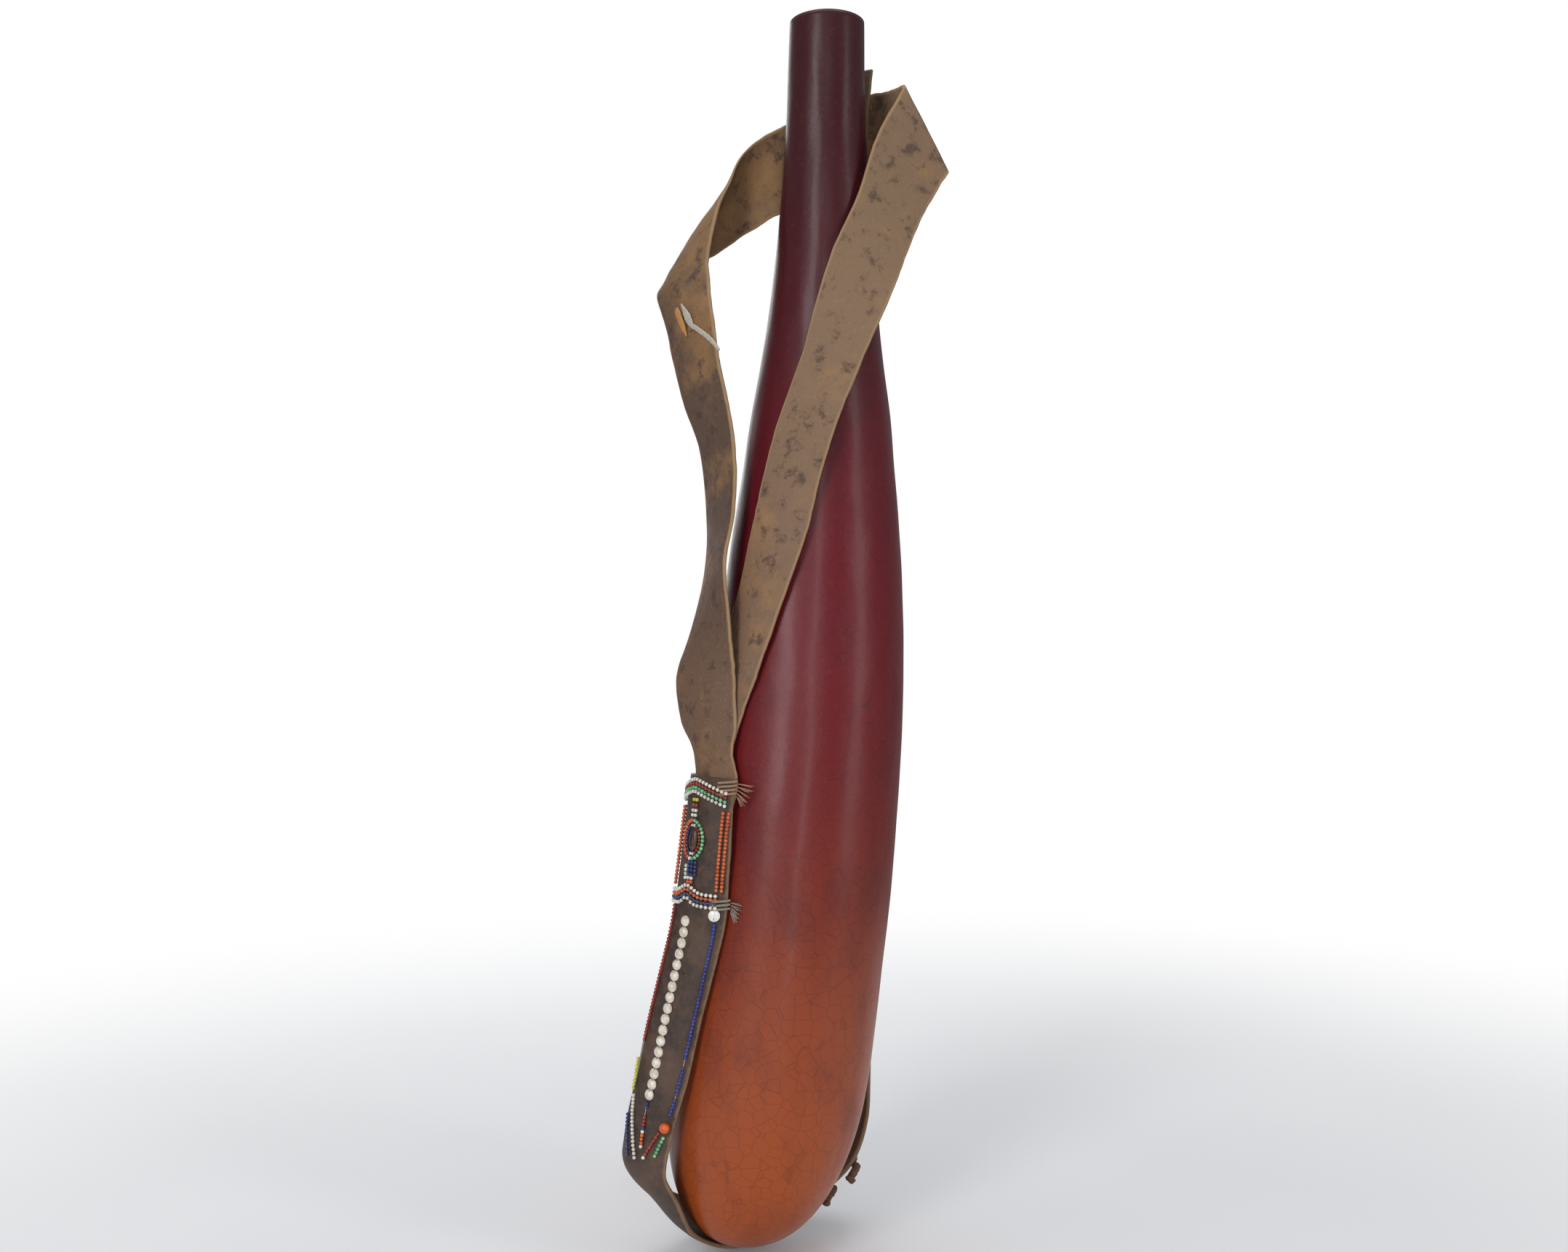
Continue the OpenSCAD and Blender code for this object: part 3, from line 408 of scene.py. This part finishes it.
FRONT_ROUTE = [
    (8.5, 269, 35, 197, 64, 1.36, 0), (12.5, 287, 20, 176, 53, 1.12, 0), (17, 308, 12, 176, 50, 1, 0),
    (21.2, 331, 8.5, 185, 29, 0.93, 0), (27.1, 353, 7.5, 198, 9, 0.82, 10), (32.5, 10, 7, 200, -1, 0.82, 15),
    (36.6, 19, 4.6, 205, 2, 0.8, 20), (40, 24, 3.7, 208, 1, 0.82, 25), (43.9, 31, 3.3, 217, 1, 0.8, 30),
    (48.6, 41, 3.6, 225, -2, 0.82, 35), (51.6, 47, 4, 229, -4, 0.8, 50), (54.6, 53, 5, 231, -5, 0.72, 60),
]
base_places = np.array([f[0] for f in base_frames])
base_run = np.concatenate([[0], np.cumsum(np.linalg.norm(np.diff(base_places, axis=0), axis=1))])


# Frame of the base strap at a distance down from its front top end.
def base_frame(down):
    x = np.interp(base_run[-1] - down, base_run, np.arange(len(base_run)))
    i = min(int(x), len(base_frames) - 2)
    a, b, t = base_frames[i], base_frames[i + 1], x - i
    mixed = [a[k] * (1 - t) + b[k] * t for k in range(5)]
    return [mixed[0], unit(mixed[1]), unit(mixed[2]), mixed[3], mixed[4]]


# Station of a strip that lies under the base strap, concentric with its curl.
def under_base(down, depth, width, slip):
    f = base_frame(down)
    outer_r = f[3] / math.radians(f[4])
    r = outer_r - depth
    a = slip / r
    place = f[0] - f[2] * outer_r + r * (f[2] * math.cos(a) + f[1] * math.sin(a))
    return [place, f[1] * math.cos(a) - f[2] * math.sin(a), width, math.degrees(width / r)]


first_layer = BASE_T / 2 + SEAT + CARRY_T / 2
second_layer = first_layer + SEAT + CARRY_T
downs = (4, 26, 50, PANEL - 3)
branch_end = [under_base(d, first_layer, STRAP_W * (0.89 - 0.003 * d), 3.5 - 0.07 * d)
              for d in reversed(downs)]
front_end = [under_base(d, second_layer, STRAP_W * 0.55, -1.5) for d in downs]
front_end = [[place, -across, width, curl] for place, across, width, curl in front_end]
branch = smooth_run(branch_end + [station(*row) for row in BRANCH_ROUTE])
front = smooth_run([station(*row) for row in FRONT_ROUTE] + front_end)
carry_frames = framed(branch + front)
carry_strap = strap("carry_strap_leather", carry_frames, CARRY_T, 7.0, 0.03, 0.55)

# Soft-tanned hide, matt and mottled with grime. Along its length it is darkest up the branch, and the
# darker stretch on the back section right of the neck is painted shade cast by the fold in front.
# Patches to the metre: a nap of 1 mm, mottle of 11 and clouds of 50.
hide, tree, shader, where = material("mottled_rawhide")
nap = node(tree, "TexNoise", inputs={"Vector": where, "Scale": 800, "Detail": 5, "Roughness": 0.7})
grime = node(tree, "TexNoise", inputs={"Vector": where, "Scale": 95, "Detail": 6, "Roughness": 0.7})
patchy = node(tree, "TexNoise", inputs={"Vector": where, "Scale": 20, "Detail": 5, "Roughness": 0.65})
along = node(tree, "Attribute", "Fac", attribute_name="along")
# Tone along the strap: darkest up the branch; the darker stop at 0.56 is painted shade on the back section
# behind the neck, under the fold.
colour = node(tree, "ValToRGB", inputs={"Fac": along}, stops=[
    (0.0, "#7b5a3c"), (0.14, "#6f5340"), (0.24, "#5c463a"), (0.33, "#60493a"),
    (0.42, "#8a6947"), (0.56, "#7a5f48"), (0.66, "#856a50"), (0.8, "#836650"), (1.0, "#735a47")])
colour = over(tree, colour, "#a57b4b", patchy, 0.5, 0.68, 0.55)
colour = over(tree, colour, "#463430", grime, 0.52, 0.66, 0.75)
colour = over(tree, colour, "#a58663", nap, 0.5, 0.72, 0.3)
colour = over(tree, colour, "#b08c62", grime, 0.36, 0.26, 0.5)
edge = node(tree, "Attribute", "Fac", attribute_name="edge")
worn_edge = node(tree, "Math", operation="MULTIPLY_ADD", inputs={0: grime, 1: 0.5, 2: edge})
tree.links.new(over(tree, colour, "#a1825f", worn_edge, 0.9, 1.3), shader["Base Color"])
tree.links.new(node(tree, "MapRange", inputs={"Value": grime, "From Min": 0.3, "From Max": 0.7,
                                              "To Min": 0.6, "To Max": 0.82}), shader["Roughness"])
dents = node(tree, "Bump", inputs={"Strength": 0.5, "Distance": 1.4 * MM, "Height": grime})
tree.links.new(node(tree, "Bump", inputs={"Strength": 0.5, "Distance": 0.4 * MM, "Height": nap,
                                          "Normal": dents}), shader["Normal"])
carry_strap.data.materials.append(hide)
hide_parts("carry_strap")
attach(carry_strap, "root")


# Lace and tongue: a thin pale hide lace comes out of a slit in the branch, with its broad cut end
# up, and runs off the right edge. Beside it a tan tongue of the strap's own hide is cut and raised.
def carry_spot(third, v, lift):
    x = third * STEPS / 3
    a, t = int(x), x - int(x)
    return (on_strap(carry_frames[a], v, CARRY_T / 2 + lift) * (1 - t)
            + on_strap(carry_frames[a + 1], v, CARRY_T / 2 + lift) * t)


# Rings of a flat or round cord through spots, each of place, width and thickness, closed at its ends.
def cord(spots, up, sides=12, steps=7, rough=0.0, seed=1.0):
    rows = np.array([[*place, width, thick] for place, width, thick in spots])
    n = len(rows)
    line = []
    for i in range(n - 1):
        near = [rows[min(max(i + k, 0), n - 1)] for k in (-1, 0, 1, 2)]
        line += [blend(*near, t) for t in np.linspace(0, 1, steps, endpoint=i == n - 2)]
    rings = []
    for i, q in enumerate(line):
        t = unit(line[min(i + 1, len(line) - 1)][:3] - line[max(i - 1, 0)][:3])
        x = unit(np.cross(t, up))
        y = np.cross(x, t)
        ring = []
        for j in range(sides):
            a = 2 * math.pi * j / sides
            grow = 1 + rough * noise.noise(Vector(q[:3]) * 0.9 + Vector((math.cos(a), math.sin(a), seed)))
            ring.append(q[:3] + grow * (x * math.cos(a) * q[3] / 2 + y * math.sin(a) * q[4] / 2))
        rings.append(ring)
    return np.array([[np.mean(rings[0], 0)] * sides] + rings + [[np.mean(rings[-1], 0)] * sides])


# The mesh with its doubles merged and its faces turned outwards, as an object.
def closed(name, mesh, gap):
    work = bmesh.new()
    work.from_mesh(mesh)
    bmesh.ops.remove_doubles(work, verts=work.verts, dist=gap)
    bmesh.ops.recalc_face_normals(work, faces=work.faces)
    clean = bpy.data.meshes.new(name)
    work.to_mesh(clean)
    work.free()
    clean.shade_smooth()
    made = bpy.data.objects.new(name, clean)
    scene.collection.objects.link(made)
    return made


# Many cords in one mesh.
def cord_mesh(name, cords):
    verts, faces = [], []
    for rings in cords:
        start, (m, n) = len(verts), rings.shape[:2]
        verts += (rings.reshape(-1, 3) * MM).tolist()
        faces += [[start + i * n + j, start + i * n + (j + 1) % n, start + (i + 1) * n + (j + 1) % n,
                   start + (i + 1) * n + j] for i in range(m - 1) for j in range(n)]
    mesh = bpy.data.meshes.new(name)
    mesh.from_pydata(verts, [], faces)
    return closed(name, mesh, 1e-7)


# Matt fibrous stuff, from a dark to a light tone, with patches to the metre and depth in millimetres.
def fibrous(name, dark, light, scale=1500, depth=0.3):
    made, tree, shader, where = material(name, Roughness=0.8)
    tone = node(tree, "TexNoise", inputs={"Vector": where, "Scale": scale, "Detail": 5, "Roughness": 0.7})
    tree.links.new(node(tree, "ValToRGB", inputs={"Fac": tone}, stops=[(0.3, dark), (0.7, light)]),
                   shader["Base Color"])
    tree.links.new(node(tree, "Bump", inputs={"Strength": 0.7, "Distance": depth * MM, "Height": tone}),
                   shader["Normal"])
    return made


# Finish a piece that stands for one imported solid.
def finish(piece, stuff, solid):
    piece.data.materials.clear()
    piece.data.materials.append(stuff)
    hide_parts(solid)
    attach(piece, "root")


# A spot is thirds of a station along the branch, place across, lift, width and thickness.
LACE = [(40.7, 0.10, 0.7, 1.0, 0.8), (40.3, 0.16, 1.0, 3.2, 1.2), (39.8, 0.22, 1.2, 5.2, 1.4),
        (39.4, 0.27, 1.1, 4.8, 1.3), (39.1, 0.33, 1.1, 3.1, 1.3), (38.9, 0.46, 1.2, 3.0, 1.3),
        (38.55, 0.65, 1.2, 3.0, 1.3), (38.15, 0.83, 1.2, 3.0, 1.3), (37.65, 0.99, 1.1, 2.9, 1.2),
        (37.1, 1.1, 0.6, 2.0, 1.1)]
TONGUE = [(40.4, -0.13, 0.7, 3.0, 0.8), (40.1, -0.11, 0.9, 4.6, 1.1), (39.5, -0.08, 1.1, 4.7, 1.2),
          (38.9, -0.04, 1.0, 3.9, 1.1), (38.2, 0.01, 0.8, 1.0, 0.8)]
lace_up = carry_frames[39 * STEPS // 3][2]
lace_spots, tongue_spots = ([(carry_spot(third, v, lift), width, thick)
                             for third, v, lift, width, thick in route] for route in (LACE, TONGUE))
lace = cord_mesh("hide_lace", [cord(lace_spots, lace_up, 16, 8, 0.16, 2.0)])
tongue = cord_mesh("cut_tongue", [cord(tongue_spots, lace_up, 16, 8, 0.12, 5.0)])
finish(lace, fibrous("pale_scraped_hide", "#a39a8c", "#cfc8bb", 900), "strap_lace")
finish(tongue, fibrous("tan_cut_hide", "#a8733f", "#cf9a5d", 900), "slit_tongue")


# Stitching: both ends of the panel are whipped over the strap's right edge with plant fibre. Each
# stitch is a bundle of six twisted strands, and the loose ends fray out in tufts.
def spot(down, side, lift):
    f = base_frame(down)
    return on_strap(f, side / (f[3] / 2), BASE_T / 2 + lift)


PITCH, STRANDS, STRAND = 2.2, 6, 0.55
STITCH = [(1.7, 14.4, 0.5), (1.5, 16, 1.0), (1.1, 18.4, 1.2), (0.7, 21, 1.2), (0.3, 23.3, 1.1),
          (0.0, 24.8, 0.7)]
noise.seed_set(5)  # noise_vector shifts by this seed, or by the clock where none is set


def stitching(name, top, count, tuft, seed):
    up = base_frame(top)[2]
    cords = []
    for i in range(count):
        for k in range(STRANDS):
            path = []
            for step, (down, side, lift) in enumerate(STITCH):
                a = k * math.pi / 3 + i + step * 0.9
                here = spot(top + PITCH * i + down + 0.42 * math.cos(a), side, lift + 0.36 * math.sin(a))
                path.append((here, STRAND, STRAND))
            cords.append(cord(path, up, 7, 5, 0.3, seed + k))
    for i in range(5):
        down = top + 1.4 + PITCH * count * i / 5
        out = base_frame(down)[1] * 0.7 + np.array([0.7, -0.2, 0])
        root = spot(down, 25.2, 0.7)
        for k in range(5):
            wander = np.array(noise.noise_vector(Vector((i * 1.7, k * 2.3, seed)))) * 1.5
            reach = out * tuft * (1 - 0.12 * i) * (0.75 + 0.12 * k)
            drop = np.array([0, 0, 1.0 + i])
            cords.append(cord([(root, STRAND, STRAND),
                               (root + reach * 0.35 + wander * 0.3 - drop * 0.3, 0.5, 0.5),
                               (root + reach * 0.7 + wander * 0.8 - drop * 0.7, 0.4, 0.4),
                               (root + reach + wander - drop, 0.22, 0.22)], up, 6, 5, 0.3, seed + k))
    return cord_mesh(name, cords)


upper = stitching("upper_fibre_stitches", 1, 4, 6.5, 3.0)
lower = stitching("lower_fibre_stitches", 67, 3, 4.5, 9.0)
finish(upper, fibrous("frayed_plant_fibre", "#7d5f49", "#b8977a"), "top_stitching")
finish(lower, fibrous("frayed_grey_fibre", "#6f665a", "#a99f8f"), "bottom_stitching")


# Knotted ends: low at the back, two cut tails of the base strap stand off its edge. Each is pulled
# through one turn of leather that knots it.
def rim_spot(third, v, lift):
    return on_strap(base_frames[third * STEPS // 3], v, BASE_T / 2 + lift)


KNOT_UP = np.array([0.3, 0.2, 1.0])
TAILS = [
    [(44, 0.5, 1.2, 2.2, 1.6), (45, 0.75, 2.0, 3.8, 2.8), (45, 0.95, 2.7, 4.8, 3.6),
     (46, 1.08, 3.7, 4.4, 4.2), (46, 1.12, 6.2, 3.0, 2.8)],
    [(47, 0.55, 1.2, 2.2, 1.6), (47, 0.85, 2.3, 4.2, 3.2), (48, 1.02, 3.1, 5.0, 4.2),
     (48, 1.17, 4.2, 2.8, 2.6)],
]
tails = [[(rim_spot(third, v, lift), width, thick) for third, v, lift, width, thick in tail]
         for tail in TAILS]
lobes = []
for tail in tails:
    core, ahead = tail[-2][0], unit(tail[-1][0] - tail[-3][0])
    side = unit(np.cross(ahead, KNOT_UP))
    above = np.cross(side, ahead)
    turn = []
    for a in np.linspace(0.2, 2 * math.pi, 9):
        here = core + side * 2.3 * math.cos(a) + above * 2.1 * math.sin(a) + ahead * 0.9 * math.sin(a * 0.5)
        turn.append((here, 1.9, 1.6))
    lobes.append(cord(turn, ahead, 10, 5, 0.35, 4.0))
knots = cord_mesh("knotted_leather_ends", [cord(tail, KNOT_UP, 16, 7, 0.35, 7.0) for tail in tails] + lobes)
finish(knots, fibrous("rough_knot_leather", "#4a3428", "#7d5f48", 700, 0.6), "edge_knots")

# Bead thread: cream sinew, half a millimetre thick, through every run of beads. It is the packed
# thread with its facets merged and smoothed.
threads = closed("twisted_thread", frame["nodes"]["bead_thread"].data, 1e-6)
finish(threads, fibrous("cream_twisted_thread", "#8f8168", "#bcae93", 2600, 0.1), "bead_thread")


# Beads, discs and button: drawn and wound opaque glass, ground shell and a polished seed, strung on
# the thread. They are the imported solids, each lot slightly uneven in colour and dulled by handling.
# Patches to the metre: tones of 2.4 mm, so that beads differ, and wear of 0.4.
def beadwork(name, dark, light, rough=0.22):
    made, tree, shader, where = material(name, Coat_Weight=0.3, Coat_Roughness=0.12)
    lot = node(tree, "TexNoise", inputs={"Vector": where, "Scale": 420, "Detail": 2, "Roughness": 0.5})
    wear = node(tree, "TexNoise", inputs={"Vector": where, "Scale": 2600, "Detail": 3, "Roughness": 0.6})
    colour = node(tree, "ValToRGB", inputs={"Fac": lot}, stops=[(0.35, dark), (0.65, light)])
    tree.links.new(over(tree, colour, "#6b5a48", wear, 0.6, 0.8, 0.3), shader["Base Color"])
    tree.links.new(node(tree, "MapRange", inputs={"Value": wear, "From Min": 0.3, "From Max": 0.8,
                                                  "To Min": rough, "To Max": rough + 0.25}),
                   shader["Roughness"])
    return made


bead_stuffs = {
    "glass_white": beadwork("white_glass_bead", "#c9c7b8", "#efeee4"),
    "glass_red": beadwork("brick_red_glass_bead", "#7c1f1a", "#a8332a"),
    "glass_green": beadwork("green_glass_bead", "#3f9a63", "#8fd3a0"),
    "glass_orange": beadwork("orange_glass_bead", "#b84a1c", "#e2703a"),
    "glass_yellow": beadwork("yellow_glass_bead", "#b9b52a", "#dfe04f"),
    "glass_navy": beadwork("dark_blue_glass_bead", "#1c2450", "#31407c"),
    "glass_blue": beadwork("royal_blue_glass_bead", "#1e2a70", "#3444a0"),
    "amber": beadwork("orange_ball_bead", "#c84a12", "#ee6c24", 0.15),
    "button": beadwork("cream_button", "#dddcd8", "#f6f5f2", 0.18),
    "shell": beadwork("ivory_shell", "#c9bca8", "#ece4da", 0.3),
    "seed": beadwork("brown_polished_seed", "#33231a", "#5a3f2c", 0.3),
}
slots = {part["node"]: part["material_slot"] for part in frame["record"]["subparts"]}
for name, piece in frame["nodes"].items():
    if slots.get(name) in bead_stuffs:
        piece.data.materials.clear()
        piece.data.materials.append(bead_stuffs[slots[name]])

# Floor: matt white paper under the base strap, which fades out before the horizon.
bpy.ops.mesh.primitive_plane_add(size=6, location=(0, 0, -0.7165))
floor = bpy.context.object
floor.name = "floor"
paper, tree, shader, where = material("pale_floor", Roughness=0.9, Specular_IOR_Level=0.1)
clouds = node(tree, "TexNoise", inputs={"Vector": where, "Scale": 3, "Detail": 2, "Roughness": 0.55})
tree.links.new(node(tree, "ValToRGB", inputs={"Fac": clouds}, stops=[(0.3, "#eceef1"), (0.7, "#f2f3f5")]),
               shader["Base Color"])
away = node(tree, "VectorMath", "Value", {0: where}, operation="LENGTH")
tree.links.new(node(tree, "MapRange", interpolation_type="SMOOTHSTEP",
                    inputs={"Value": away, "From Min": 0.25, "From Max": 1.1, "To Min": 1, "To Max": 0}),
               shader["Alpha"])
floor.data.materials.append(paper)
